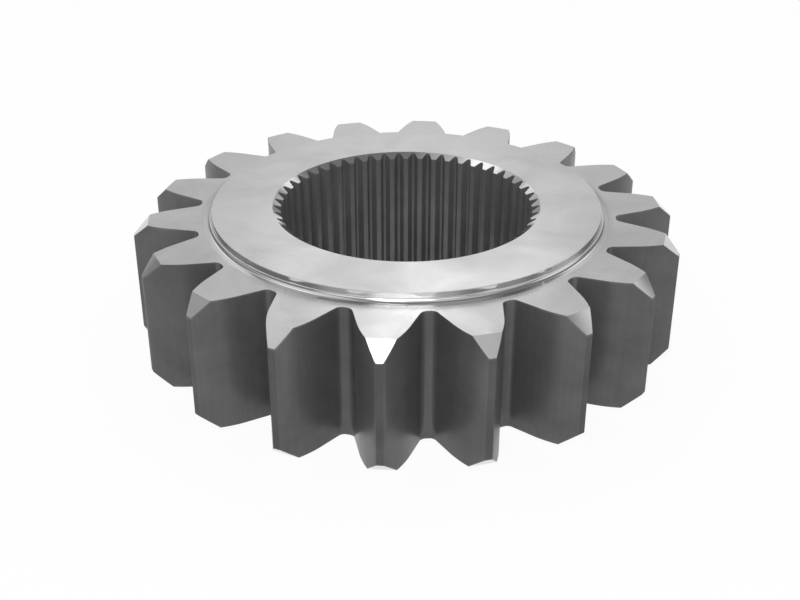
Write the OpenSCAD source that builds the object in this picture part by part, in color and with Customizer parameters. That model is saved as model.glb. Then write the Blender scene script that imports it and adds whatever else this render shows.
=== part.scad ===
// Sun gear of a heavy planetary drive, machined from one steel forging.
// It is built in the order it is made: a blank is turned, the teeth are
// hobbed through it, and the spline is broached in its bore.
// Lengths are in millimetres, angles in degrees. The axis is Z, the gear
// rests on its lower hub face at Z = 0, and one tooth points along +Y.

/* [Gear teeth] */
// Number of gear teeth
tooth_count = 18; // [18:1:26]
// Module of the gear teeth
gear_module = 8; // [8:0.25:12]
// Pressure angle of the gear teeth
pressure_angle = 22.5; // [20:0.5:25]
// Profile shift of the gear teeth, in modules
profile_shift = 0.25; // [0.2:0.025:0.4]
// Tooth height above the shifted pitch circle, in modules
addendum = 1.125; // [0.9:0.025:1.15]
// Tooth depth below the shifted pitch circle, in modules
dedendum = 1.275; // [1.15:0.025:1.3]
// Metal ground off each flank to give the mesh its backlash
flank_allowance = 0.2; // [0:0.05:0.5]
// How far below the pitch circle each flank runs on straight, in modules
foot_depth = 0.05; // [0:0.05:0.3]
// Radius of the fillet at the foot of each flank
root_fillet = 2; // [1:0.1:3]
// Width of the toothed rim, from side to side
face_width = 40.6; // [20:0.2:90]
// Chamfer on the ends of the teeth, cut at 45 degrees
tooth_chamfer = 4.7; // [0.5:0.1:8]

/* [Hub faces] */
// Diameter of the raised hub faces
hub_d = 118.4; // [96:0.2:118.4]
// Height of each hub face above the side of the rim
hub_rise = 3; // [2.2:0.1:8]
// Fillet between the hub's wall and the side of the rim
hub_fillet = 1.5; // [0.5:0.1:1.8]
// Width over which that fillet flattens out into the rim
hub_runout = 2.5; // [0.5:0.1:3]

/* [Bore spline] */
// Number of spline teeth
spline_count = 52; // [30:1:60]
// Module of the spline
spline_module = 1.5; // [1:0.25:1.75]
// Pressure angle of the spline
spline_angle = 30; // [25:0.5:32]
// Height of the spline teeth inside their pitch circle, in modules
spline_addendum = 0.475; // [0.4:0.025:0.6]
// Depth of the spline spaces outside their pitch circle, in modules
spline_dedendum = 0.9; // [0.6:0.025:0.9]
// Radius in the bottom corners of the spline spaces
spline_fillet = 0.4; // [0.1:0.05:0.45]
// Turn of the spline against the gear teeth
spline_turn = 1.4; // [0:0.1:6.9]
// Width of the lead-in outside the bottom of the spline spaces
lead_in_land = 0.45; // [0.1:0.05:2]
// Slope of the lead-in against the hub face
lead_in_angle = 30; // [20:1:50]

/* [Hidden] */

// Facets of one full turn, for round surfaces
$fn = 180;
// Straight steps along one flank, one fillet, one spline flank and so on
FLANK_STEPS = 8;
FILLET_STEPS = 5;
SPLINE_STEPS = 2;
HUB_STEPS = 4;
// Tilt at which the hub's fillet hands over to its flatter run-out
RUNOUT_TILT = 10;
// How far a cutting outline reaches past the metal that it cuts
OVERSHOOT = 1;

height = face_width + 2 * hub_rise;

// Degrees that an arc length takes on a circle
function arc_angle(arc, r) = arc / r * 180 / PI;
// The involute function, in degrees
function involute(angle) = tan(angle) * 180 / PI - angle;
// Half angle of an involute tooth at radius r, from its half angle at the base circle
function half_angle(r, base, at_base) = at_base - involute(acos(min(1, base / r)));
function polar(r, angle) = [r * cos(angle), r * sin(angle)];
function turned(p, angle) = [
    p.x * cos(angle) - p.y * sin(angle),
    p.x * sin(angle) + p.y * cos(angle)
];
function reversed(points) = [for (i = [len(points) - 1:-1:0]) points[i]];
function mirrored(points) = [for (p = points) [p.x, -p.y]];

// Circles of the gear teeth
pitch_r = gear_module * tooth_count / 2;
base_r = pitch_r * cos(pressure_angle);
tip_r = pitch_r + gear_module * (profile_shift + addendum);
root_r = pitch_r + gear_module * (profile_shift - dedendum);
half_pitch = 180 / tooth_count;
// Half angle of a tooth at its pitch circle and at its base circle
tooth_at_pitch = 90 / tooth_count
    + 2 * profile_shift * tan(pressure_angle) / tooth_count * 180 / PI
    - arc_angle(flank_allowance, pitch_r);
tooth_at_base = tooth_at_pitch + involute(pressure_angle);

// Below this radius the flank is a straight foot, which touches the involute there
form_r = pitch_r - gear_module * foot_depth;
form_slope = acos(base_r / form_r);
// The foot's line, by the direction of its normal and by its distance from the axis
foot_normal = half_angle(form_r, base_r, tooth_at_base) + 90 - form_slope;
foot_distance = form_r * sin(form_slope);

// A root fillet of radius f touches the root circle and the foot's line. This is the
// angle at the axis from the tooth's centre line to the fillet's centre.
function fillet_angle(f) = foot_normal - acos((foot_distance + f) / (root_r + f));
// The fillet, made smaller where two of them don't fit side by side in a tooth space
function fitted(f) = fillet_angle(f) + 0.1 < half_pitch || f < 0.1 ? f : fitted(0.97 * f);
foot_fillet = fitted(root_fillet);

// One side of a tooth that points along +X, from past its tip down to the root circle
flank = [
    for (i = [0:FLANK_STEPS])
        let (r = tip_r + OVERSHOOT + (form_r - tip_r - OVERSHOOT) * i / FLANK_STEPS)
        polar(r, half_angle(r, base_r, tooth_at_base))
];
foot = [
    for (i = [0:FILLET_STEPS])
        let (
            centre = fillet_angle(foot_fillet),
            first = foot_normal - 180,
            last = centre - 180,
            direction = first + (last - first) * i / FILLET_STEPS
        )
        polar(root_r + foot_fillet, centre) + polar(foot_fillet, direction)
];
tooth_side = concat(flank, foot);
tooth = concat(mirrored(reversed(tooth_side)), tooth_side, [polar(root_r, half_pitch)]);
gear_outline = [
    for (i = [0:tooth_count - 1])
        for (p = tooth)
            turned(p, 90 + 2 * half_pitch * i)
];

// Circles of the spline
spline_pitch_r = spline_module * spline_count / 2;
spline_base_r = spline_pitch_r * cos(spline_angle);
spline_minor_r = spline_pitch_r - spline_module * spline_addendum;
spline_major_r = spline_pitch_r + spline_module * spline_dedendum;
space_at_base = 90 / spline_count + involute(spline_angle);

// Slope of a space's side at its bottom, and the corner fillet that turns it there
bottom_slope = acos(spline_base_r / spline_major_r);
bottom_half_w = spline_major_r * sin(half_angle(spline_major_r, spline_base_r, space_at_base));
corner_turn = 90 - bottom_slope;
corner_fillet = min(spline_fillet, bottom_half_w / tan(corner_turn / 2));
corner_end_r = spline_major_r - corner_fillet * (1 - cos(corner_turn));
corner_centre = [
    spline_major_r - corner_fillet,
    bottom_half_w - corner_fillet * tan(corner_turn / 2)
];

// One side of a space that points along +X, from its mouth to its bottom
space_side = concat(
    [
        for (i = [0:SPLINE_STEPS])
            let (r = spline_minor_r + (corner_end_r - spline_minor_r) * i / SPLINE_STEPS)
            polar(r, half_angle(r, spline_base_r, space_at_base))
    ],
    [
        for (i = [SPLINE_STEPS - 1:-1:0])
            corner_centre + polar(corner_fillet, corner_turn * i / SPLINE_STEPS)
    ]
);
space = concat(mirrored(space_side), reversed(space_side));
spline_outline = [
    for (i = [0:spline_count - 1])
        for (p = space)
            turned(p, 90 + spline_turn + 360 / spline_count * i)
];

// The bore before broaching, and its lead-in
pilot_r = spline_minor_r - OVERSHOOT;
lead_in_r = spline_major_r + lead_in_land;
lead_in_depth = (lead_in_r - pilot_r) * tan(lead_in_angle);

// The hub's wall, its fillet and the fillet's flatter run-out, from the hub face to the rim
hub_r = hub_d / 2;
runout_r = hub_runout / sin(RUNOUT_TILT);
runout_rise = runout_r * (1 - cos(RUNOUT_TILT));
fillet_end = [
    hub_r + hub_fillet * (1 - sin(RUNOUT_TILT)),
    hub_rise - runout_rise
];
fillet_start_z = fillet_end.y - hub_fillet * cos(RUNOUT_TILT);
hub_side = concat(
    [[hub_r, 0]],
    [
        for (i = [0:HUB_STEPS])
            let (tilt = 90 - (90 - RUNOUT_TILT) * i / HUB_STEPS)
            [hub_r + hub_fillet * (1 - sin(tilt)), fillet_start_z + hub_fillet * cos(tilt)]
    ],
    [
        for (i = [1:HUB_STEPS])
            let (tilt = RUNOUT_TILT * (1 - i / HUB_STEPS))
            [
                fillet_end.x + runout_r * (sin(RUNOUT_TILT) - sin(tilt)),
                hub_rise - runout_r * (1 - cos(tilt))
            ]
    ]
);

// Section of the blank's lower half, from the bore to the rim, as radius and height
lower_side = concat(
    [[pilot_r, lead_in_depth], [lead_in_r, 0]],
    hub_side,
    [[tip_r - tooth_chamfer, hub_rise], [tip_r, hub_rise + tooth_chamfer]]
);
upper_side = [for (p = reversed(lower_side)) [p.x, height - p.y]];

module turned_blank() {
    rotate_extrude()
        polygon(concat(lower_side, upper_side));
}

module tooth_prism() {
    translate([0, 0, -OVERSHOOT])
        linear_extrude(height + 2 * OVERSHOOT)
            polygon(gear_outline);
}

module spline_broach() {
    translate([0, 0, -OVERSHOOT])
        linear_extrude(height + 2 * OVERSHOOT)
            polygon(spline_outline);
}

module sun_gear() {
    color([0.66, 0.67, 0.68])
        difference() {
            intersection() {
                turned_blank();
                tooth_prism();
            }
            spline_broach();
        }
}

sun_gear();
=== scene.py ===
"""Sun gear of a heavy planetary drive, dressed in machined and hardened steel.

The gear is one piece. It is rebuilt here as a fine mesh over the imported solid, from
the same values as the solid's own source, with the small edge breaks that every
machined edge has and with one finish for each way in which the steel was worked.
Lengths are in millimetres until a mesh is made, and angles are in degrees.
"""

import logging
import math
from dataclasses import dataclass, field
from enum import IntEnum

import bpy
import numpy as np
from mathutils import Matrix, Vector


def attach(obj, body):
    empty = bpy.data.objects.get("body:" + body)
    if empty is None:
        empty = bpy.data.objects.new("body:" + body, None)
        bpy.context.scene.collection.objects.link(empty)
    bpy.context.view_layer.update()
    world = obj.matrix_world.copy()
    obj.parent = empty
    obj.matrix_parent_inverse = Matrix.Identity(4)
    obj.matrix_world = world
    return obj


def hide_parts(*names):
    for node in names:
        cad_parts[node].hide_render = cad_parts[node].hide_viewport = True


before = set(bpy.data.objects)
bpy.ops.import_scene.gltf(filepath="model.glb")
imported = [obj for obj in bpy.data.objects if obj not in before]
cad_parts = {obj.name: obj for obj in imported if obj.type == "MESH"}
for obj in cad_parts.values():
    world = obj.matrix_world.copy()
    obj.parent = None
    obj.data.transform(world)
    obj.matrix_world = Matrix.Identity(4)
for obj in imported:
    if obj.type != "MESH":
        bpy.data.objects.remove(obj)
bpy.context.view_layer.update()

LOG = logging.getLogger("sun_gear")
MM = 0.001
# Points of two patches that agree to this many decimals of a millimetre become one
MERGE_DECIMALS = 4
# Two faces that bend by more than this many degrees meet in a sharp edge
CREASE_ANGLE = 15.0
# Nearly all of a noise texture's values lie between these two
NOISE_RANGE = {"From Min": 0.3, "From Max": 0.7}
WHITE = (1.0, 1.0, 1.0, 1.0)


class Zone(IntEnum):
    """The surfaces of the gear, by the way in which each was worked."""

    HUB_FACE = 0
    HUB_STEP = 1
    RIM_SIDE = 2
    TOOTH_END = 3
    FLANK = 4
    EDGE = 5
    LEAD_IN = 6
    SPLINE = 7
    TIP_LAND = 8


def linear(hex_colour: str) -> tuple[float, float, float, float]:
    """Turns an sRGB hex colour into the linear colour that Blender's sockets take.

    Args:
        hex_colour: Six hex digits, with or without a leading hash.

    Returns:
        Linear red, green and blue from 0 to 1, and an alpha of 1.
    """
    digits = hex_colour.lstrip("#")
    values = [int(digits[i:i + 2], 16) / 255 for i in (0, 2, 4)]
    red, green, blue = (
        v / 12.92 if v <= 0.04045 else ((v + 0.055) / 1.055) ** 2.4 for v in values)
    return red, green, blue, 1.0


def add_node(
    tree: bpy.types.NodeTree,
    kind: str,
    settings: dict[str, object] | None = None,
    inputs: dict[str | int, object] | None = None,
) -> bpy.types.Node:
    """Adds one node to a tree, with its settings and its inputs.

    Args:
        tree: The tree that gets the node.
        kind: Blender's name for the type of node.
        settings: Values of the node's own properties, by name.
        inputs: What goes into its sockets, by name or number: a socket is linked, and
            anything else is set as the socket's value.

    Returns:
        The new node.
    """
    node = tree.nodes.new(kind)
    for name, value in (settings or {}).items():
        setattr(node, name, value)
    for name, value in (inputs or {}).items():
        if isinstance(value, bpy.types.NodeSocket):
            tree.links.new(value, node.inputs[name])
        else:
            node.inputs[name].default_value = value
    return node


def cleared(owner: bpy.types.Material | bpy.types.World) -> bpy.types.NodeTree:
    """Gives a material or world a node tree with nothing in it.

    Args:
        owner: The material or world.

    Returns:
        Its empty tree.
    """
    owner.use_nodes = True
    owner.node_tree.nodes.clear()
    return owner.node_tree


def looked_at(tree: bpy.types.NodeTree) -> bpy.types.NodeSocket:
    """Tells rays that show a background from rays that carry its light to the gear.

    Args:
        tree: The tree that gets the nodes.

    Returns:
        A socket that is 1 for the rays of the camera, of reflections and through glass,
        and 0 for all others.
    """
    path = add_node(tree, "ShaderNodeLightPath").outputs
    seen = path["Is Camera Ray"]
    for ray in ("Is Glossy Ray", "Is Transmission Ray"):
        seen = add_node(tree, "ShaderNodeMath", {"operation": "MAXIMUM"}, {
            0: seen, 1: path[ray]}).outputs[0]
    return seen


def in_scene(name: str, data: bpy.types.ID) -> bpy.types.Object:
    """Makes an object in the scene, at the origin.

    Args:
        name: Name of the new object.
        data: Its mesh, lamp or camera.

    Returns:
        The object.
    """
    piece = bpy.data.objects.new(name, data)
    bpy.context.scene.collection.objects.link(piece)
    return piece


def polar(radius: np.ndarray | float, angle: np.ndarray | float) -> np.ndarray:
    """Points of a plane from polar coordinates: x = r cos(a) and y = r sin(a).

    Args:
        radius: Radius or radii in millimetres.
        angle: Angle or angles in radians.

    Returns:
        An array of the same shape with one more axis, which holds x and y.
    """
    return np.stack(np.broadcast_arrays(radius * np.cos(angle), radius * np.sin(angle)), axis=-1)


def unrolled(points: np.ndarray) -> np.ndarray:
    """Rows of radius and angle for rows of x and y, which is polar() turned round."""
    return np.stack([np.hypot(points[:, 0], points[:, 1]),
                     np.arctan2(points[:, 1], points[:, 0])], axis=1)


def bearing(points: np.ndarray) -> np.ndarray:
    """Angles of points round the axis, in radians from 0 up to a full turn."""
    return np.arctan2(points[:, 1], points[:, 0]) % (2 * np.pi)


def involute(angle: np.ndarray | float) -> np.ndarray | float:
    """The involute function, tan(a) - a, in radians."""
    return np.tan(angle) - angle


def outward(points: np.ndarray) -> np.ndarray:
    """Unit normals at the corners of a closed outline that runs anticlockwise.

    Each is the normal of the two neighbouring edges, averaged: an edge (x, y) has the
    normal (y, -x), which points out of the area that the outline goes round.

    Args:
        points: The outline's corners, as rows of x and y.

    Returns:
        One unit normal for each corner.
    """
    edge = np.roll(points, -1, axis=0) - points
    edge /= np.linalg.norm(edge, axis=1, keepdims=True)
    normal = np.stack([edge[:, 1], -edge[:, 0]], axis=1)
    both = normal + np.roll(normal, 1, axis=0)
    return both / np.linalg.norm(both, axis=1, keepdims=True)


def all_round(side: np.ndarray, turns: np.ndarray) -> np.ndarray:
    """The outline of a toothed ring from one side of a tooth, mirrored and turned.

    Args:
        side: Rows of radius and angle, from the tooth's centre line to the next space's.
        turns: Direction of each tooth's centre line, in radians.

    Returns:
        Rows of x and y round the whole ring, anticlockwise.
    """
    tooth = np.concatenate([side[:0:-1] * (1, -1), side[:-1]])
    angle = (tooth[None, :, 1] + turns[:, None]).reshape(-1)
    return polar(np.tile(tooth[:, 0], len(turns)), angle)


def grid_faces(rows: int, columns: int, closed: bool) -> np.ndarray:
    """Four-cornered faces of a grid of points, numbered row by row.

    Args:
        rows: Number of rows of points.
        columns: Number of points in a row.
        closed: True where a row runs round and its last point joins its first.

    Returns:
        One row of four point numbers for each face.
    """
    number = np.arange(rows * columns).reshape(rows, columns)
    if closed:
        number = np.concatenate([number, number[:, :1]], axis=1)
    corners = (number[:-1, :-1], number[:-1, 1:], number[1:, 1:], number[1:, :-1])
    return np.stack(corners, axis=-1).reshape(-1, 4)


def zip_faces(inner: np.ndarray, outer: np.ndarray) -> np.ndarray:
    """Triangles between two rings round the axis that have different numbers of points.

    All the points are taken in the order of their angles. Each point closes a triangle
    with the point before it on its own ring and the last point passed on the other.

    Args:
        inner: Angles of the inner ring's points, from 0 up to a full turn.
        outer: The same for the outer ring, whose points are numbered after the inner ones.

    Returns:
        Four point numbers for each triangle, of which the last two are the same.
    """
    angle = np.concatenate([inner, outer])
    order = np.argsort(angle, kind="stable")
    is_inner = order < len(inner)
    inner_order = order[is_inner]
    outer_order = order[~is_inner]
    at_inner = (np.cumsum(is_inner) - 1) % len(inner)
    at_outer = (np.cumsum(~is_inner) - 1) % len(outer)
    a, a_before = inner_order[at_inner], inner_order[at_inner - 1]
    b, b_before = outer_order[at_outer], outer_order[at_outer - 1]
    first = np.where(is_inner, a_before, a)
    second = np.where(is_inner, b, b_before)
    third = np.where(is_inner, a, b)
    return np.stack([first, second, third, third], axis=1)


@dataclass
class Patch:
    """A piece of the gear's surface: points in millimetres, faces, and how it was worked."""

    points: np.ndarray
    faces: np.ndarray
    zone: Zone
    wear: np.ndarray | None = None

    def mirrored(self, height: float) -> "Patch":
        """The same surface on the other side of the gear, with its faces turned over."""
        points = other_side(self.points, height)
        return Patch(points, self.faces[:, ::-1], self.zone, self.wear)


def other_side(points: np.ndarray, height: float) -> np.ndarray:
    """Points on the other side of the gear, with z turned into height - z."""
    return points * (1, 1, -1) + (0, 0, height)


def edge_rows(radius: float, steps: int) -> np.ndarray:
    """Rows that round an edge off: how far in from each of its two surfaces they lie.

    At the angle a, from 0 to 90 degrees, a row lies radius * (1 - sin a) in from the
    wall and radius * (1 - cos a) below the end.

    Args:
        radius: Radius of the rounding in millimetres.
        steps: Number of strips of faces across the rounding.

    Returns:
        One row of two numbers for each line of points: in from the wall, below the end.
    """
    angle = np.linspace(0, np.pi / 2, steps + 1)
    return radius * np.stack([1 - np.sin(angle), 1 - np.cos(angle)], axis=1)


@dataclass(frozen=True)
class GearTeeth:
    """The external teeth: shifted involutes with rounded roots and chamfered ends.

    Profile shift, addendum, dedendum and foot depth are in modules. The steps are the
    strips of faces along each part of a tooth's outline.
    """

    count: int = 18
    module: float = 8.0
    pressure_angle: float = 22.5
    profile_shift: float = 0.25
    addendum: float = 1.125
    dedendum: float = 1.275
    flank_allowance: float = 0.2
    foot_depth: float = 0.05
    root_fillet: float = 2.0
    end_chamfer: float = 4.7
    edge_break: float = 0.12
    # The corner between land and flank is this many times rounder than the ends' edges
    tip_break_ratio: float = 1.5
    worn_width: float = 1.1
    # A face is part of a tip's land if its middle lies this near the tip circle
    land_reach: float = 0.05
    land_steps: int = 3
    upper_steps: int = 5
    lower_steps: int = 7
    foot_steps: int = 3
    fillet_steps: int = 9
    edge_steps: int = 3

    @property
    def pitch_r(self) -> float:
        """Radius of the pitch circle."""
        return self.module * self.count / 2

    @property
    def base_r(self) -> float:
        """Radius of the base circle, from which the involutes unwind."""
        return self.pitch_r * math.cos(math.radians(self.pressure_angle))

    @property
    def tip_r(self) -> float:
        """Radius of the tips of the teeth."""
        return self.pitch_r + self.module * (self.profile_shift + self.addendum)

    @property
    def root_r(self) -> float:
        """Radius of the floors of the tooth spaces."""
        return self.pitch_r + self.module * (self.profile_shift - self.dedendum)

    @property
    def chamfer_r(self) -> float:
        """Radius at which the chamfers on the ends of the teeth begin."""
        return self.tip_r - self.end_chamfer

    @property
    def form_r(self) -> float:
        """Radius at which the involute ends and the flank's straight foot begins."""
        return self.pitch_r - self.module * self.foot_depth

    @property
    def turns(self) -> np.ndarray:
        """Direction of each tooth's centre line, in radians. One tooth points along +Y."""
        return math.pi / 2 + np.arange(self.count) * 2 * math.pi / self.count

    @property
    def at_base(self) -> float:
        """Half angle of a tooth at the base circle, in radians."""
        slope = math.radians(self.pressure_angle)
        at_pitch = (math.pi / 2 + 2 * self.profile_shift * math.tan(slope)) / self.count
        return at_pitch - self.flank_allowance / self.pitch_r + involute(slope)

    def half_angle(self, radius: np.ndarray | float) -> np.ndarray | float:
        """Half angle of a tooth: that at the base circle less inv(acos(base / radius)).

        Args:
            radius: Radius or radii in millimetres.

        Returns:
            The angle from the tooth's centre line to its flank, in radians.
        """
        return self.at_base - involute(np.arccos(np.minimum(1, self.base_r / radius)))

    def tip(self, flank_start: float) -> np.ndarray:
        """Half of a tooth's tip: an arc round the axis, and a parabola that rounds its corner.

        Args:
            flank_start: Radius at which the parabola meets the flank.

        Returns:
            Rows of radius and angle, of which the last is the parabola's middle.
        """
        corner = self.half_angle(self.tip_r)
        land_end = corner - self.edge_break * self.tip_break_ratio / self.tip_r
        angle = np.linspace(0, land_end, self.land_steps + 1)
        land = np.stack([np.full(self.land_steps + 1, self.tip_r), angle], axis=1)
        ends = polar(
            np.array([self.tip_r, self.tip_r, flank_start]),
            np.array([land_end, corner, self.half_angle(flank_start)]),
        )
        middle = (ends[0] + 2 * ends[1] + ends[2]) / 4
        return np.concatenate([land, unrolled(middle[None])])

    def foot(self) -> np.ndarray:
        """The flank's straight foot, a line that touches the involute, and the root fillet.

        The fillet is an arc that touches the foot and the root circle: its centre lies
        root + fillet from the axis, and fillet from the foot's line.

        Returns:
            Rows of radius and angle, past the involute's own last point.
        """
        slope = math.acos(self.base_r / self.form_r)
        normal = self.half_angle(self.form_r) + math.pi / 2 - slope
        centre_r = self.root_r + self.root_fillet
        centre_distance = self.form_r * math.sin(slope) + self.root_fillet
        centre_angle = normal - math.acos(centre_distance / centre_r)
        bend = np.linspace(normal - math.pi, centre_angle - math.pi, self.fillet_steps + 1)
        arc = polar(centre_r, centre_angle) + polar(self.root_fillet, bend)
        start = polar(self.form_r, self.half_angle(self.form_r))
        share = np.arange(1, self.foot_steps)[:, None] / self.foot_steps
        return unrolled(np.concatenate([start + (arc[0] - start) * share, arc]))

    def side(self) -> tuple[np.ndarray, int, int]:
        """One side of a tooth that points along x, from its tip's centre to the root's.

        The tip is an arc, the flank an involute, and below it come the foot and the root.

        Returns:
            The points as rows of radius and angle, the number of the first point past
            the tip's land, and that of the point where the end chamfer begins.
        """
        tip_slope = math.acos(self.base_r / self.tip_r)
        flank_start = self.tip_r - self.edge_break * self.tip_break_ratio * math.cos(tip_slope)
        tip = self.tip(flank_start)
        slope = math.sqrt(1 - (self.base_r / self.chamfer_r) ** 2)
        chamfer_start = self.chamfer_r + self.edge_break * slope
        radius = np.concatenate([
            np.linspace(flank_start, chamfer_start, self.upper_steps + 1)[:-1],
            np.linspace(chamfer_start, self.form_r, self.lower_steps + 1),
        ])
        flank = np.stack([radius, self.half_angle(radius)], axis=1)
        root = [[self.root_r, math.pi / self.count]]
        points = np.concatenate([tip, flank, self.foot(), root])
        return points, len(tip) - 1, len(tip) + self.upper_steps

    def end_height(self, radius: np.ndarray, rise: float) -> np.ndarray:
        """Height of the lower end: the rim's side, and past the chamfer's start 45 degrees up.

        Args:
            radius: Distances from the axis in millimetres.
            rise: Height of the rim's lower side.

        Returns:
            The height for each radius.
        """
        return rise + np.maximum(0, radius - self.chamfer_r)

    def across(self, edge: np.ndarray, steps: np.ndarray) -> np.ndarray:
        """Rows of points across each tooth, on arcs round the axis from edge to edge.

        A row at the radius r, whose edge lies at the angle a from the tooth's centre
        line, has its points at r and a * t, with t from -1 to 1 in equal steps.

        Args:
            edge: For each tooth, the points of its outline from one root to the next.
            steps: For each row, how many points from the tip's centre its edges lie.

        Returns:
            An array of teeth, rows, columns and x, y, z.
        """
        centre = edge.shape[1] // 2
        right, left = edge[:, centre + steps], edge[:, centre - steps]
        turn = self.turns
        radius = np.linalg.norm(right[..., :2], axis=-1)
        spread = np.arctan2(right[..., 1], right[..., 0]) - turn[:, None]
        spread = (spread + np.pi) % (2 * np.pi) - np.pi
        share = np.linspace(-1, 1, 2 * self.land_steps + 1)
        flat = polar(radius[..., None], turn[:, None, None] + spread[..., None] * share)
        rows = np.concatenate(
            [flat, np.broadcast_to(right[..., None, 2:], flat.shape[:-1] + (1,))], axis=-1)
        rows[:, :, 0], rows[:, :, -1] = left, right
        return rows

    def lower_rows(self, side: np.ndarray, rise: float) -> np.ndarray:
        """Rows of points up the teeth's wall from its lower edge: the rounding, then wear.

        Args:
            side: Rows of radius and angle along one side of a tooth.
            rise: Height of the rim's lower side.

        Returns:
            An array of rows, points round the gear and x, y, z.
        """
        points = all_round(side, self.turns)
        worn = np.array([[0.0, self.edge_break + self.worn_width]])
        rows = np.concatenate([edge_rows(self.edge_break, self.edge_steps), worn])
        inset = points[None] - outward(points)[None] * rows[:, :1, None]
        low = self.end_height(np.linalg.norm(inset, axis=-1), rise) + rows[:, 1:]
        return np.concatenate([inset, low[..., None]], axis=-1)

    def wall(self, lower: np.ndarray, height: float) -> list[Patch]:
        """The teeth's wall from end to end: edges, flanks and roots, and the tips' lands.

        Args:
            lower: The rows of points at its lower end.
            height: Height of the whole gear.

        Returns:
            The wall's patches, worn where they lie near an end.
        """
        grid = np.concatenate([lower, other_side(lower, height)[::-1]])
        rounded = self.edge_steps
        wear = np.ones(grid.shape[:2])
        wear[rounded + 1:-rounded - 1] = 0.0
        made = []
        for first, last, zone in (
            (0, rounded + 1, Zone.EDGE),
            (rounded, len(grid) - rounded, Zone.FLANK),
            (len(grid) - rounded - 1, len(grid), Zone.EDGE),
        ):
            part, worn = grid[first:last].reshape(-1, 3), wear[first:last].reshape(-1)
            faces = grid_faces(last - first, grid.shape[1], True)
            middle = np.linalg.norm(part[faces].mean(axis=1)[:, :2], axis=1)
            on_land = (middle > self.tip_r - self.land_reach) & (zone is Zone.FLANK)
            made.append(Patch(part, faces[~on_land], zone, worn))
            if on_land.any():
                made.append(Patch(part, faces[on_land], Zone.TIP_LAND, worn))
        return made

    def end_patch(self, rows: np.ndarray, zone: Zone) -> Patch:
        """One surface of the teeth's lower ends.

        Args:
            rows: Its points: teeth, rows, columns and x, y, z.
            zone: How it was worked.

        Returns:
            The surface's patch.
        """
        _, tall, wide, _ = rows.shape
        shift = (np.arange(self.count) * tall * wide)[:, None, None]
        faces = (grid_faces(tall, wide, False)[None] + shift).reshape(-1, 4)
        return Patch(rows.reshape(-1, 3), faces, zone)

    @staticmethod
    def root_ring(inner_ring: np.ndarray, roots: np.ndarray) -> Patch:
        """The ring between the hub's step and the roots, in the order of its angles.

        Args:
            inner_ring: Points of the circle where the hub's step ends.
            roots: Points along the inner edge of the teeth's sides, tooth by tooth.

        Returns:
            The ring's patch on the lower side.
        """
        foot = roots.reshape(-1, 3)
        around = bearing(foot)
        first = int(np.argmin(around))
        foot, around = np.roll(foot, -first, axis=0), np.roll(around, -first)
        faces = zip_faces(bearing(inner_ring), around)[:, ::-1]
        return Patch(np.concatenate([inner_ring, foot]), faces, Zone.RIM_SIDE)

    def patches(self, rise: float, height: float, inner_ring: np.ndarray) -> list[Patch]:
        """The toothed rim: its flanks and roots, end chamfers, and both sides.

        Args:
            rise: Height of the hub's face below the rim's side.
            height: Height of the whole gear.
            inner_ring: Points of the circle where the hub's step ends on the lower side.

        Returns:
            All the patches of the rim.
        """
        side, past_land, chamfer_at = self.side()
        lower = self.lower_rows(side, rise)
        edge = lower[0].reshape(self.count, -1, 3)
        edge = np.concatenate([edge, np.roll(edge, -1, axis=0)[:, :1]], axis=1)

        # On each tooth, rows run from the root out to the tip, and columns across
        centre = edge.shape[1] // 2
        side_rows = self.across(edge, np.arange(centre - 1, chamfer_at - 1, -1))
        end_rows = self.across(edge, np.arange(chamfer_at, past_land - 1, -1))
        top = edge[:, None, centre - self.land_steps:centre + self.land_steps + 1]
        made = self.wall(lower, height)
        for patch in (
            self.end_patch(side_rows, Zone.RIM_SIDE),
            self.end_patch(np.concatenate([end_rows, top], axis=1), Zone.TOOTH_END),
            self.root_ring(inner_ring, np.concatenate([edge[:, :1], side_rows[:, 0]], axis=1)),
        ):
            made += [patch, patch.mirrored(height)]
        return made


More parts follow.
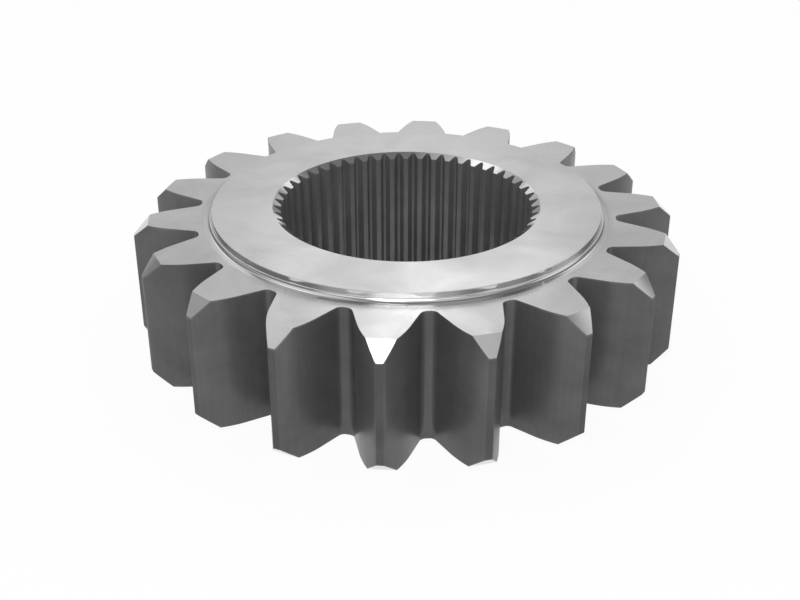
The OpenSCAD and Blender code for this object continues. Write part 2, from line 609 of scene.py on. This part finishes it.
@dataclass(frozen=True)
class BoreSpline:
    """The internal spline: narrow involute spaces broached in the bore, and its lead-ins.

    Addendum and dedendum are in modules. The turn is the spline's, against the gear teeth.
    """

    count: int = 52
    module: float = 1.5
    pressure_angle: float = 30.0
    addendum: float = 0.475
    dedendum: float = 0.9
    corner_fillet: float = 0.4
    turn: float = 1.4
    lead_in_land: float = 0.45
    lead_in_angle: float = 30.0
    edge_break: float = 0.12
    flank_steps: int = 3
    corner_steps: int = 4
    edge_steps: int = 2

    @property
    def base_r(self) -> float:
        """Radius of the base circle."""
        return self.module * self.count / 2 * math.cos(math.radians(self.pressure_angle))

    @property
    def minor_r(self) -> float:
        """Radius at the tips of the spline's teeth."""
        return self.module * (self.count / 2 - self.addendum)

    @property
    def major_r(self) -> float:
        """Radius at the bottoms of its spaces."""
        return self.module * (self.count / 2 + self.dedendum)

    @property
    def lead_in_r(self) -> float:
        """Radius at which the lead-in cone meets the hub's face."""
        return self.major_r + self.lead_in_land

    def half_angle(self, radius: np.ndarray | float) -> np.ndarray | float:
        """Half angle of a space: a quarter pitch + inv(30 degrees) - inv(acos(base / radius))."""
        at_base = math.pi / 2 / self.count + involute(math.radians(self.pressure_angle))
        return at_base - involute(np.arccos(self.base_r / radius))

    def side(self) -> np.ndarray:
        """One side of a space that points along x, from its bottom's centre to the next tip.

        The bottom is straight, its corner an arc that touches the bottom and the flank,
        the flank an involute, and the tooth's own corner a short parabola.

        Returns:
            Rows of radius and angle.
        """
        slope = math.acos(self.base_r / self.major_r)
        bottom = self.major_r * math.sin(self.half_angle(self.major_r))
        corner_turn = math.pi / 2 - slope
        centre = np.array([
            self.major_r - self.corner_fillet,
            bottom - self.corner_fillet * math.tan(corner_turn / 2),
        ])
        arc = centre + polar(
            self.corner_fillet, np.linspace(0, corner_turn, self.corner_steps + 1))
        end_r = self.major_r - self.corner_fillet * (1 - math.cos(corner_turn))
        start_r = self.minor_r + self.edge_break
        radius = np.linspace(end_r, start_r, self.flank_steps + 1)[1:]
        flank = polar(radius, self.half_angle(radius))
        corner_angle = self.half_angle(self.minor_r)
        land_angle = corner_angle + self.edge_break / self.minor_r
        corner, land = polar(self.minor_r, np.array([corner_angle, land_angle]))
        rounded = (flank[-1] + 2 * corner + land) / 4
        tip = polar(self.minor_r, math.pi / self.count)
        points = np.concatenate([[[self.major_r, 0]], arc, flank, [rounded, land, tip]])
        return unrolled(points)

    def lower_rows(self) -> np.ndarray:
        """Rows of points round the spline's lower end: its rounded edge, on the lead-in cone.

        The cone's height at the radius r is (lead-in radius - r) * tan(30 degrees).

        Returns:
            An array of rows, points round the bore and x, y, z.
        """
        turns = math.radians(90 + self.turn) + np.arange(self.count) * 2 * math.pi / self.count
        points = all_round(self.side(), turns)
        rows = edge_rows(self.edge_break, self.edge_steps)
        inset = points[None] + outward(points)[None] * rows[:, :1, None]
        slope = math.tan(math.radians(self.lead_in_angle))
        low = (self.lead_in_r - np.linalg.norm(inset, axis=-1)) * slope + rows[:, 1:]
        return np.concatenate([inset, low[..., None]], axis=-1)

    def patches(self, height: float, hub_ring: np.ndarray) -> list[Patch]:
        """The spline, the lead-in cones at its ends and the hub's two faces round them.

        Args:
            height: Height of the whole gear.
            hub_ring: Points of the circle at which the lower hub face ends outside.

        Returns:
            The patches of the bore and of both hub faces.
        """
        lower = self.lower_rows()
        upper = other_side(lower, height)[::-1]
        count = lower.shape[1]
        made = []
        for rows in (lower, np.stack([lower[-1], upper[0]]), upper):
            faces = grid_faces(len(rows), count, True)[:, ::-1]
            made.append(Patch(rows.reshape(-1, 3), faces, Zone.SPLINE))

        rim_angle = np.arctan2(lower[0, :, 1], lower[0, :, 0])
        circle = np.concatenate([polar(self.lead_in_r, rim_angle), np.zeros((count, 1))], axis=1)
        cone = np.stack([circle, lower[0]])
        lead_in = Patch(cone.reshape(-1, 3), grid_faces(2, count, True)[:, ::-1], Zone.LEAD_IN)
        ring = np.concatenate([circle, hub_ring])
        around = bearing(ring)
        faces = zip_faces(around[:count], around[count:])[:, ::-1]
        hub_face = Patch(ring, faces, Zone.HUB_FACE)
        for patch in (lead_in, hub_face):
            made += [patch, patch.mirrored(height)]
        return made


@dataclass(frozen=True)
class HubStep:
    """The raised hub: its wall, the fillet at the wall's foot and the fillet's flat run-out.

    The wall, the fillet and the inner half of the run-out are smooth from the tool's nose.
    """

    radius: float = 59.2
    rise: float = 3.0
    fillet: float = 1.5
    runout: float = 2.5
    runout_tilt: float = 10.0
    edge_break: float = 0.15
    around: int = 480
    fillet_steps: int = 12
    runout_steps: int = 6
    edge_steps: int = 3

    def profile(self) -> tuple[np.ndarray, int]:
        """Section of the lower step as rows of radius and height, from the hub's face outwards.

        The fillet is an arc of its radius from upright to the run-out's tilt, and the
        run-out an arc of runout / sin(tilt), which ends level with the rim's side.

        Returns:
            The section, and the number of its first point below the rounded edge.
        """
        edge = edge_rows(self.edge_break, self.edge_steps)
        edge = np.stack([self.radius - edge[:, 0], edge[:, 1]], axis=1)
        tilt = math.radians(self.runout_tilt)
        wide_r = self.runout / math.sin(tilt)
        end_r = self.radius + self.fillet * (1 - math.sin(tilt))
        end_z = self.rise - wide_r * (1 - math.cos(tilt))
        start_z = end_z - self.fillet * math.cos(tilt)
        bend = np.linspace(math.pi / 2, tilt, self.fillet_steps + 1)
        arc = np.stack([self.radius + self.fillet * (1 - np.sin(bend)),
                        start_z + self.fillet * np.cos(bend)], axis=1)
        flat = np.linspace(tilt, 0, self.runout_steps + 1)[1:]
        wide = np.stack([end_r + wide_r * (math.sin(tilt) - np.sin(flat)),
                         self.rise - wide_r * (1 - np.cos(flat))], axis=1)
        return np.concatenate([edge, arc, wide]), len(edge)

    def ring(self, radius: float, height: float) -> np.ndarray:
        """Points of a circle round the axis, at the angles that the whole step uses."""
        angle = np.arange(self.around) * 2 * np.pi / self.around
        return np.concatenate([polar(radius, angle), np.full((self.around, 1), height)], axis=1)

    def patches(self, height: float) -> list[Patch]:
        """The lower and upper steps, each a section carried round the axis.

        Args:
            height: Height of the whole gear.

        Returns:
            The steps' patches.
        """
        profile, below = self.profile()
        grid = np.stack([self.ring(r, z) for r, z in profile])
        made = []
        smooth_end = below + self.fillet_steps + self.runout_steps // 2
        for first, last, zone in (
            (0, below, Zone.RIM_SIDE),
            (below - 1, smooth_end + 1, Zone.HUB_STEP),
            (smooth_end, len(grid), Zone.RIM_SIDE),
        ):
            part = grid[first:last]
            faces = grid_faces(len(part), self.around, True)
            patch = Patch(part.reshape(-1, 3), faces, zone)
            made += [patch, patch.mirrored(height)]
        return made


@dataclass(frozen=True)
class SteelFinish:
    """What the finishes of the steel share. The colour of each is that of its metal."""

    name: str
    colour: str
    roughness: float

    def shaded(
        self, tree: bpy.types.NodeTree, one: bpy.types.NodeSocket, other: bpy.types.NodeSocket
    ) -> bpy.types.NodeSocket:
        """The finish's colour, multiplied by what two sockets give."""
        shade = add_node(tree, "ShaderNodeMath", {"operation": "MULTIPLY"}, {
            0: one, 1: other}).outputs[0]
        return add_node(tree, "ShaderNodeVectorMath", {"operation": "SCALE"}, {
            0: linear(self.colour)[:3], "Scale": shade}).outputs[0]


@dataclass(frozen=True)
class TurnedSteel(SteelFinish):
    """Bare alloy steel cut on a lathe: bright, with fine rings that pull highlights out.

    The eye sees a pale grey metal whose highlights run along the radius, across the
    rings that the tool left, with soft clouds where the cut was a little duller.
    Sizes are in millimetres. Depths are shares of the colour, and duller and
    smoother say how far the clouds move the roughness either way.
    """

    ring_pitch: float = 0.8
    ring_depth: float = 0.05
    ring_bump: float = 0.04
    ring_height: float = 0.02
    cloud_size: float = 22.0
    cloud_depth: float = 0.10
    duller: float = 0.05
    smoother: float = 0.04
    anisotropy: float = 0.6

    def dress(self) -> bpy.types.Material:
        """Builds the finish's nodes.

        The rings are noise over (radius / pitch, cos a, sin a), with a real feed of about
        0.2 mm drawn four times as coarse so that it shows.

        Returns:
            The finished material.
        """
        made = bpy.data.materials.new(self.name)
        tree = cleared(made)
        place = add_node(tree, "ShaderNodeTexCoord").outputs["Object"]
        flat = add_node(tree, "ShaderNodeVectorMath", {"operation": "MULTIPLY"},
                        {0: place, 1: (1, 1, 0)}).outputs[0]
        radius = add_node(tree, "ShaderNodeVectorMath", {"operation": "LENGTH"},
                          {0: flat}).outputs["Value"]
        around = add_node(tree, "ShaderNodeVectorMath", {"operation": "NORMALIZE"},
                          {0: flat}).outputs[0]
        rings_out = add_node(tree, "ShaderNodeMath", {"operation": "MULTIPLY"}, {
            0: radius, 1: 1 / (self.ring_pitch * MM)}).outputs[0]
        split = add_node(tree, "ShaderNodeSeparateXYZ", inputs={0: around}).outputs
        ring_place = add_node(tree, "ShaderNodeCombineXYZ", inputs={
            0: rings_out, 1: split[0], 2: split[1]}).outputs[0]
        rings = add_node(tree, "ShaderNodeTexNoise", inputs={
            "Vector": ring_place, "Scale": 1.0, "Detail": 3.0, "Roughness": 0.6}).outputs["Fac"]
        clouds = add_node(tree, "ShaderNodeTexNoise", inputs={
            "Vector": place, "Scale": 1 / (self.cloud_size * MM), "Detail": 4.0,
            "Roughness": 0.55, "Distortion": 0.6}).outputs["Fac"]
        # A cloud darkens three times as much as the clear metal beside it brightens
        mottle = add_node(tree, "ShaderNodeMapRange", inputs={
            "Value": clouds, **NOISE_RANGE, "To Min": 1 - self.cloud_depth,
            "To Max": 1.0 + self.cloud_depth / 3}).outputs[0]
        lines = add_node(tree, "ShaderNodeMapRange", inputs={
            "Value": rings, **NOISE_RANGE, "To Min": 1 - self.ring_depth}).outputs[0]
        dull = add_node(tree, "ShaderNodeMapRange", inputs={
            "Value": clouds, **NOISE_RANGE, "To Min": self.roughness + self.duller,
            "To Max": self.roughness - self.smoother}).outputs[0]
        bump = add_node(tree, "ShaderNodeBump", inputs={
            "Strength": self.ring_bump, "Distance": self.ring_height * MM,
            "Height": rings}).outputs[0]
        tangent = add_node(
            tree, "ShaderNodeTangent", {"direction_type": "RADIAL", "axis": "Z"}).outputs[0]
        # A quarter turn of the anisotropy lays the highlights across the rings
        shader = add_node(tree, "ShaderNodeBsdfPrincipled", inputs={
            "Base Color": self.shaded(tree, mottle, lines), "Metallic": 1.0,
            "Roughness": dull, "Normal": bump, "Anisotropic": self.anisotropy,
            "Anisotropic Rotation": 0.25, "Tangent": tangent})
        add_node(tree, "ShaderNodeOutputMaterial", inputs={"Surface": shader.outputs[0]})
        return made


@dataclass(frozen=True)
class HardenedSteel(SteelFinish):
    """Case-hardened steel, whose dark grey colour is a painted reflection of the dark
    surroundings that its cut faces mirror.

    The eye sees dark grey metal with a soft sheen, faint lines along the teeth where
    the cutter ran, and bare brighter steel where an edge has been rubbed.
    Sizes are in millimetres. The shades are the least and the most that clouds and lines
    multiply the colour by. Rubbed is the range of the edge wear over which bare steel
    comes through, and duller and smoother say how far the clouds move the roughness.
    """

    bare_colour: str = "#9A9B9C"
    metallic: float = 0.25
    gloss: float = 0.35
    line_width: float = 0.9
    line_stretch: float = 40.0
    line_bump: float = 0.10
    line_height: float = 0.03
    cloud_size: float = 16.0
    cloud_shades: tuple[float, float] = (0.82, 1.16)
    line_shades: tuple[float, float] = (0.95, 1.05)
    rubbed: tuple[float, float] = (0.30, 0.75)
    wear: float = 0.35
    duller: float = 0.06
    smoother: float = 0.05

    def dress(self) -> bpy.types.Material:
        """Builds the finish's nodes.

        The lines are noise over (x, y, z / 40), so that each runs along the tooth. The
        real marks are about 0.3 mm apart and are drawn three times as wide.

        Returns:
            The finished material.
        """
        made = bpy.data.materials.new(self.name)
        tree = cleared(made)
        place = add_node(tree, "ShaderNodeTexCoord").outputs["Object"]
        drawn = add_node(tree, "ShaderNodeVectorMath", {"operation": "MULTIPLY"},
                         {0: place, 1: (1, 1, 1 / self.line_stretch)}).outputs[0]
        lines = add_node(tree, "ShaderNodeTexNoise", inputs={
            "Vector": drawn, "Scale": 1 / (self.line_width * MM), "Detail": 2.0}).outputs["Fac"]
        clouds = add_node(tree, "ShaderNodeTexNoise", inputs={
            "Vector": place, "Scale": 1 / (self.cloud_size * MM), "Detail": 5.0,
            "Roughness": 0.6, "Distortion": 0.4}).outputs["Fac"]
        worn = add_node(
            tree, "ShaderNodeAttribute", {"attribute_name": "edge_wear"}).outputs["Fac"]
        bared = add_node(tree, "ShaderNodeMath", {"operation": "MULTIPLY"}, {
            0: worn, 1: clouds}).outputs[0]
        bared = add_node(tree, "ShaderNodeMapRange", inputs={
            "Value": bared, "From Min": self.rubbed[0], "From Max": self.rubbed[1],
            "To Max": self.wear}).outputs[0]
        patchy = add_node(tree, "ShaderNodeMapRange", inputs={
            "Value": clouds, **NOISE_RANGE, "To Min": self.cloud_shades[0],
            "To Max": self.cloud_shades[1]}).outputs[0]
        streaky = add_node(tree, "ShaderNodeMapRange", inputs={
            "Value": lines, **NOISE_RANGE, "To Min": self.line_shades[0],
            "To Max": self.line_shades[1]}).outputs[0]
        # The Mix node takes its colours in its sockets 6 and 7 and gives its result in 2
        mix = add_node(tree, "ShaderNodeMix", {"data_type": "RGBA"}, {
            0: bared, 6: self.shaded(tree, patchy, streaky),
            7: linear(self.bare_colour)}).outputs[2]
        sheen = add_node(tree, "ShaderNodeMapRange", inputs={
            "Value": clouds, **NOISE_RANGE, "To Min": self.roughness + self.duller,
            "To Max": self.roughness - self.smoother}).outputs[0]
        bump = add_node(tree, "ShaderNodeBump", inputs={
            "Strength": self.line_bump, "Distance": self.line_height * MM,
            "Height": lines}).outputs[0]
        shader = add_node(tree, "ShaderNodeBsdfPrincipled", inputs={
            "Base Color": mix, "Metallic": self.metallic, "Roughness": sheen, "Normal": bump,
            "Specular IOR Level": self.gloss})
        add_node(tree, "ShaderNodeOutputMaterial", inputs={"Surface": shader.outputs[0]})
        return made


@dataclass(frozen=True)
class SunGear:
    """The whole gear: a toothed rim, a raised hub on either side and a splined bore."""

    face_width: float = 40.6
    teeth: GearTeeth = field(default_factory=GearTeeth)
    hub: HubStep = field(default_factory=HubStep)
    spline: BoreSpline = field(default_factory=BoreSpline)
    # Faced in one cut: a wide even sheen, hardly drawn out, with faint clouds
    hub_face: TurnedSteel = TurnedSteel(
        "turned_steel_hub_face", "#D2D2D2", 0.32,
        cloud_depth=0.19, ring_depth=0.02, anisotropy=0.15)
    # Turned with a broader feed: highlights drawn out into soft spokes
    turned: TurnedSteel = TurnedSteel(
        "turned_steel_rim", "#C9C9C9", 0.28,
        cloud_depth=0.19, ring_depth=0.02, anisotropy=0.62)
    # Finished by the tool's nose, on the hub's wall and all chamfers: nearly a mirror
    step: TurnedSteel = TurnedSteel(
        "turned_steel_step", "#CBCBCB", 0.13,
        cloud_depth=0.06, ring_depth=0.03, anisotropy=0.0)
    # Hobbed, then hardened, with a low sheen and faint lines along the teeth; the dark colour is
    # a painted reflection of dark surroundings
    flank: HardenedSteel = HardenedSteel(
        "hardened_steel_flanks_painted_dark", "#5E5E5E", 0.32, metallic=0.25, gloss=0.30)
    # Broached, then hardened, with finer lines along the bore; its dark colour, a little paler
    # than the flanks', is a painted reflection as well
    broached: HardenedSteel = HardenedSteel(
        "broached_steel_spline_painted_dark", "#6C6C6C", 0.34, metallic=0.25, line_width=0.5)
    # The lands at the tips: flat dark grey with no glare, where the dark grey is a painted
    # reflection of dark surroundings
    land: HardenedSteel = HardenedSteel(
        "hardened_steel_tip_lands_painted_dark", "#5A5A5A", 0.40, metallic=0.08, gloss=0.05)

    @property
    def height(self) -> float:
        """Height over both hub faces."""
        return self.face_width + 2 * self.hub.rise

    def surfaces(self) -> list[Patch]:
        """Gathers the patches of the rim, the hub and the bore.

        Returns:
            All the patches of the gear, which close into one shell.
        """
        profile, _ = self.hub.profile()
        face_ring = self.hub.ring(*profile[0])
        side_ring = self.hub.ring(*profile[-1])
        return (
            self.teeth.patches(self.hub.rise, self.height, side_ring)
            + self.hub.patches(self.height)
            + self.spline.patches(self.height, face_ring)
        )

    def joined(self) -> tuple[np.ndarray, np.ndarray, np.ndarray, np.ndarray]:
        """Joins the patches: points that fall together become one, and flattened faces go.

        Returns:
            The points in millimetres, the wear of each, the faces as rows of four point
            numbers, of which a triangle says one twice, and the zone of each face.
        """
        patches = self.surfaces()
        points = np.concatenate([p.points for p in patches])
        wear = np.concatenate([
            np.zeros(len(p.points)) if p.wear is None else p.wear for p in patches])
        starts = np.cumsum([0] + [len(p.points) for p in patches[:-1]])
        faces = np.concatenate([p.faces + s for p, s in zip(patches, starts)])
        zones = np.concatenate([np.full(len(p.faces), int(p.zone)) for p in patches])

        rounded = np.round(points, MERGE_DECIMALS)
        _, kept, number = np.unique(rounded, axis=0, return_index=True, return_inverse=True)
        number = number.reshape(-1)
        merged_wear = np.zeros(len(kept))
        np.maximum.at(merged_wear, number, wear)
        faces = number[faces]
        whole = (faces == np.roll(faces, 1, axis=1)).sum(axis=1) < 2
        return points[kept], merged_wear, faces[whole], zones[whole]

    def build(self, name: str) -> bpy.types.Object:
        """Makes the gear's closed mesh and its object.

        Args:
            name: Name of the new object.

        Returns:
            The object, in the scene, at the origin.
        """
        points, wear, faces, zones = self.joined()
        once = faces != np.roll(faces, 1, axis=1)
        corners = once.sum(axis=1)
        mesh = bpy.data.meshes.new(name)
        mesh.vertices.add(len(points))
        mesh.vertices.foreach_set("co", (points * MM).astype(np.float32).reshape(-1))
        mesh.loops.add(int(corners.sum()))
        mesh.loops.foreach_set("vertex_index", faces[once].astype(np.int32))
        mesh.polygons.add(len(faces))
        loop_start = np.concatenate([[0], np.cumsum(corners)[:-1]]).astype(np.int32)
        mesh.polygons.foreach_set("loop_start", loop_start)
        mesh.polygons.foreach_set("material_index", self.slot_of(zones).astype(np.int32))
        mesh.polygons.foreach_set("use_smooth", np.ones(len(faces), bool))
        mesh.update(calc_edges=True)
        mesh.validate()
        layer = mesh.attributes.new("edge_wear", "FLOAT", "POINT")
        layer.data.foreach_set("value", wear.astype(np.float32))
        self.crease(mesh, zones, corners)
        return in_scene(name, mesh)

    @staticmethod
    def crease(mesh: bpy.types.Mesh, zones: np.ndarray, corners: np.ndarray) -> None:
        """Marks as sharp each edge between two zones, and each bent by over CREASE_ANGLE.

        The hub's step runs on into the rim's side, so the edge between those stays smooth.

        Args:
            mesh: The closed mesh.
            zones: Zone of each of its faces.
            corners: Number of corners of each face.
        """
        edge_of = np.zeros(len(mesh.loops), np.int32)
        mesh.loops.foreach_get("edge_index", edge_of)
        normal = np.zeros(len(mesh.polygons) * 3, np.float32)
        mesh.polygons.foreach_get("normal", normal)
        normal = normal.reshape(-1, 3)
        face_of = np.repeat(np.arange(len(zones)), corners)
        pair = face_of[np.argsort(edge_of, kind="stable")].reshape(-1, 2)
        bend = (normal[pair[:, 0]] * normal[pair[:, 1]]).sum(axis=1)
        one, other = zones[pair[:, 0]], zones[pair[:, 1]]
        joined = (Zone.HUB_STEP, Zone.RIM_SIDE)
        runs_on = np.isin(one, joined) & np.isin(other, joined)
        sharp = ((one != other) & ~runs_on) | (bend < math.cos(math.radians(CREASE_ANGLE)))
        layer = mesh.attributes.get("sharp_edge")
        layer = layer or mesh.attributes.new("sharp_edge", "BOOLEAN", "EDGE")
        layer.data.foreach_set("value", sharp)

    @property
    def finishes(self) -> tuple[tuple[SteelFinish, tuple[Zone, ...]], ...]:
        """Each finish with the zones that it dresses, in the order of the mesh's slots."""
        return (
            (self.hub_face, (Zone.HUB_FACE,)),
            (self.turned, (Zone.RIM_SIDE,)),
            (self.step, (Zone.HUB_STEP, Zone.TOOTH_END, Zone.LEAD_IN)),
            (self.flank, (Zone.FLANK, Zone.EDGE)),
            (self.broached, (Zone.SPLINE,)),
            (self.land, (Zone.TIP_LAND,)),
        )

    def slot_of(self, zones: np.ndarray) -> np.ndarray:
        """Looks up which material slot each face takes.

        Args:
            zones: Zone of each face.

        Returns:
            Number of the slot of each face.
        """
        slots = np.zeros(len(Zone), int)
        for slot, (_, dressed) in enumerate(self.finishes):
            slots[list(dressed)] = slot
        return slots[zones]

    def dress(self, piece: bpy.types.Object) -> None:
        """Gives the gear its finishes, one to a slot."""
        for finish, _ in self.finishes:
            piece.data.materials.append(finish.dress())


def direction(azimuth: float, elevation: float) -> Vector:
    """Unit vector from the gear: degrees from +X towards +Y, and degrees above the floor."""
    a, e = math.radians(azimuth), math.radians(elevation)
    return Vector((math.cos(a) * math.cos(e), math.sin(a) * math.cos(e), math.sin(e)))


@dataclass(frozen=True)
class Glow:
    """A soft light on the studio's walls or ceiling, as the metal mirrors it.

    Its reach is the angle at which it has faded out, and core the share of it that is even.
    """

    azimuth: float
    elevation: float
    reach: float
    level: float
    core: float = 0.35

    def level_at(
        self, tree: bpy.types.NodeTree, place: bpy.types.NodeSocket
    ) -> bpy.types.NodeSocket:
        """The glow's light for the direction that a ray looks in.

        Args:
            tree: The world's node tree.
            place: The socket with the ray's direction.

        Returns:
            The socket with the light that the glow adds there.
        """
        facing = add_node(tree, "ShaderNodeVectorMath", {"operation": "DOT_PRODUCT"}, {
            0: place, 1: direction(self.azimuth, self.elevation)}).outputs["Value"]
        return add_node(tree, "ShaderNodeMapRange", {"interpolation_type": "SMOOTHSTEP"}, {
            "Value": facing, "From Min": math.cos(math.radians(self.reach)),
            "From Max": math.cos(math.radians(self.reach * self.core)),
            "To Max": self.level}).outputs[0]


@dataclass(frozen=True)
class Lamp:
    """A rectangular area lamp that looks at the gear.

    Its place is given in degrees, its size in metres, and its radiance is how bright
    its face is, where a white background is 1.
    """

    name: str
    azimuth: float
    elevation: float
    width: float
    tall: float
    radiance: float
    distance: float = 1.5
    aim_height: float = 0.023

    def hang(self) -> None:
        """Adds the lamp: radiance * pi * area is the power that makes it look that bright."""
        data = bpy.data.lights.new(self.name, "AREA")
        data.shape, data.size, data.size_y = "RECTANGLE", self.width, self.tall
        data.energy = self.radiance * math.pi * self.width * self.tall
        piece = in_scene(self.name, data)
        away = direction(self.azimuth, self.elevation)
        piece.location = away * self.distance + Vector((0, 0, self.aim_height))
        piece.rotation_mode = "QUATERNION"
        piece.rotation_quaternion = away.to_track_quat("Z", "Y")


@dataclass(frozen=True)
class Viewpoint:
    """The camera: its place in metres, the directions of its right and top, and its lens.

    It was fitted to the corners of the teeth, as the photograph shows them.
    """

    place: tuple[float, float, float] = (0.02843, -0.35056, 0.20346)
    right: tuple[float, float, float] = (0.99626, 0.08639, 0.00007)
    up: tuple[float, float, float] = (-0.04131, 0.47567, 0.87865)
    lens: float = 56.4875
    sensor_width: float = 36.0
    clip: tuple[float, float] = (0.01, 100.0)

    def camera(self) -> None:
        """Sets the scene's camera up at the photograph's viewpoint."""
        data = bpy.data.cameras.new("camera")
        data.lens = self.lens
        data.sensor_width = self.sensor_width
        data.clip_start, data.clip_end = self.clip
        right, up = Vector(self.right), Vector(self.up)
        turn = Matrix((right, up, right.cross(up))).transposed().to_4x4()
        piece = in_scene("camera", data)
        piece.matrix_world = Matrix.Translation(Vector(self.place)) @ turn
        bpy.context.scene.camera = piece


@dataclass(frozen=True)
class Studio:
    """The stage: a pale floor, lamps, and even light with soft glows in it.

    The floor's size and its gap below the gear are in metres. Its share and glow say how
    much of what is seen of it is plain white, and how bright. Soft is the even light
    on the gear, and walls is what metal mirrors of the room. The sweep is the white
    that leads from the floor to the walls: it fades out between two heights in degrees.
    """

    floor_half: float = 6.0
    floor_gap: float = 0.00005
    floor_colour: str = "#F4F4F4"
    floor_share: float = 0.88
    floor_glow: float = 1.04
    soft: float = 0.52
    walls: float = 0.25
    sweep: float = 1.0
    sweep_top: float = 4.5
    sweep_end: float = 12.0
    # Each stands for something bright round the real gear that a face of it mirrors
    glows: tuple[Glow, ...] = (
        Glow(-122, 30, 18, 1.05),
        Glow(-62, 29, 14, 1.10),
        Glow(-50, 60, 26, 0.5),
        Glow(-30, 24, 22, 0.45),
        Glow(13, 26, 22, 0.90),
        Glow(64, 35, 9, 1.1),
        Glow(74, 19, 9, 0.40),
        Glow(96, 43, 28, 0.84),
        Glow(114, 19, 9, 0.35),
        Glow(122, 30, 8, 0.85),
        Glow(134, 47, 9, 0.42),
        Glow(139, 57, 10, 1.2),
        Glow(140, 68, 16, 0.40),
        Glow(166, 26, 18, 0.28),
        Glow(190, 55, 26, 0.75),
    )
    lamps: tuple[Lamp, ...] = (
        Lamp("front", -88, 31, 0.8, 0.9, 3.4),
        Lamp("overhead", -98, 60, 0.3, 0.3, 3.4),
        Lamp("window", 93.5, 41, 0.34, 0.5, 1.3),
    )

    def floor(self) -> None:
        """Lays a pale floor that shows white and keeps the gear's shadow."""
        half, low = self.floor_half, -self.floor_gap
        corners = [(-half, -half, low), (half, -half, low), (half, half, low), (-half, half, low)]
        mesh = bpy.data.meshes.new("floor")
        mesh.from_pydata(corners, [], [(0, 1, 2, 3)])
        made = bpy.data.materials.new("pale_floor")
        tree = cleared(made)
        share = add_node(tree, "ShaderNodeMath", {"operation": "MULTIPLY"}, {
            0: looked_at(tree), 1: self.floor_share}).outputs[0]
        matt = add_node(
            tree, "ShaderNodeBsdfDiffuse", inputs={"Color": linear(self.floor_colour)})
        glow = add_node(tree, "ShaderNodeEmission", inputs={
            "Color": WHITE, "Strength": self.floor_glow})
        both = add_node(tree, "ShaderNodeMixShader", inputs={
            0: share, 1: matt.outputs[0], 2: glow.outputs[0]})
        add_node(tree, "ShaderNodeOutputMaterial", inputs={"Surface": both.outputs[0]})
        mesh.materials.append(made)
        piece = in_scene("floor", mesh)

    def world(self) -> None:
        """Puts even light all round, in which metal mirrors dim walls and the soft glows.

        A glow adds its level within its core, and fades out smoothly towards its reach.
        The floor's white runs on a little way up the walls, as a sweep does.
        """
        world = bpy.data.worlds.new("studio")
        tree = cleared(world)
        place = add_node(tree, "ShaderNodeTexCoord").outputs["Generated"]
        height = add_node(tree, "ShaderNodeSeparateXYZ", inputs={0: place}).outputs[2]
        level = add_node(tree, "ShaderNodeMapRange", {"interpolation_type": "SMOOTHSTEP"}, {
            "Value": height, "From Min": math.sin(math.radians(self.sweep_top)),
            "From Max": math.sin(math.radians(self.sweep_end)),
            "To Min": self.sweep, "To Max": self.walls}).outputs[0]
        for glow in self.glows:
            level = add_node(tree, "ShaderNodeMath", {"operation": "ADD"}, {
                0: level, 1: glow.level_at(tree, place)}).outputs[0]
        soft = add_node(tree, "ShaderNodeBackground", inputs={
            "Color": WHITE, "Strength": self.soft})
        room = add_node(tree, "ShaderNodeBackground", inputs={
            "Color": WHITE, "Strength": level})
        both = add_node(tree, "ShaderNodeMixShader", inputs={
            0: looked_at(tree), 1: soft.outputs[0], 2: room.outputs[0]})
        add_node(tree, "ShaderNodeOutputWorld", inputs={"Surface": both.outputs[0]})
        bpy.context.scene.world = world


def main() -> None:
    """Builds the stage and the gear, and reports each piece."""
    logging.basicConfig(level=logging.INFO, format="%(name)s: %(message)s")
    bpy.context.scene.view_settings.view_transform = "Standard"
    Viewpoint().camera()
    studio = Studio()
    studio.world()
    for lamp in studio.lamps:
        lamp.hang()
    studio.floor()
    LOG.info("stage ready: %d lamps, %d glows", len(studio.lamps), len(studio.glows))

    gear = SunGear()
    piece = gear.build("sun_gear_shell")
    gear.dress(piece)
    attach(piece, "root")
    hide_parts("sun_gear")
    mesh = piece.data
    LOG.info("%s: %d points, %d faces", piece.name, len(mesh.vertices), len(mesh.polygons))


if __name__ == "__main__":
    main()
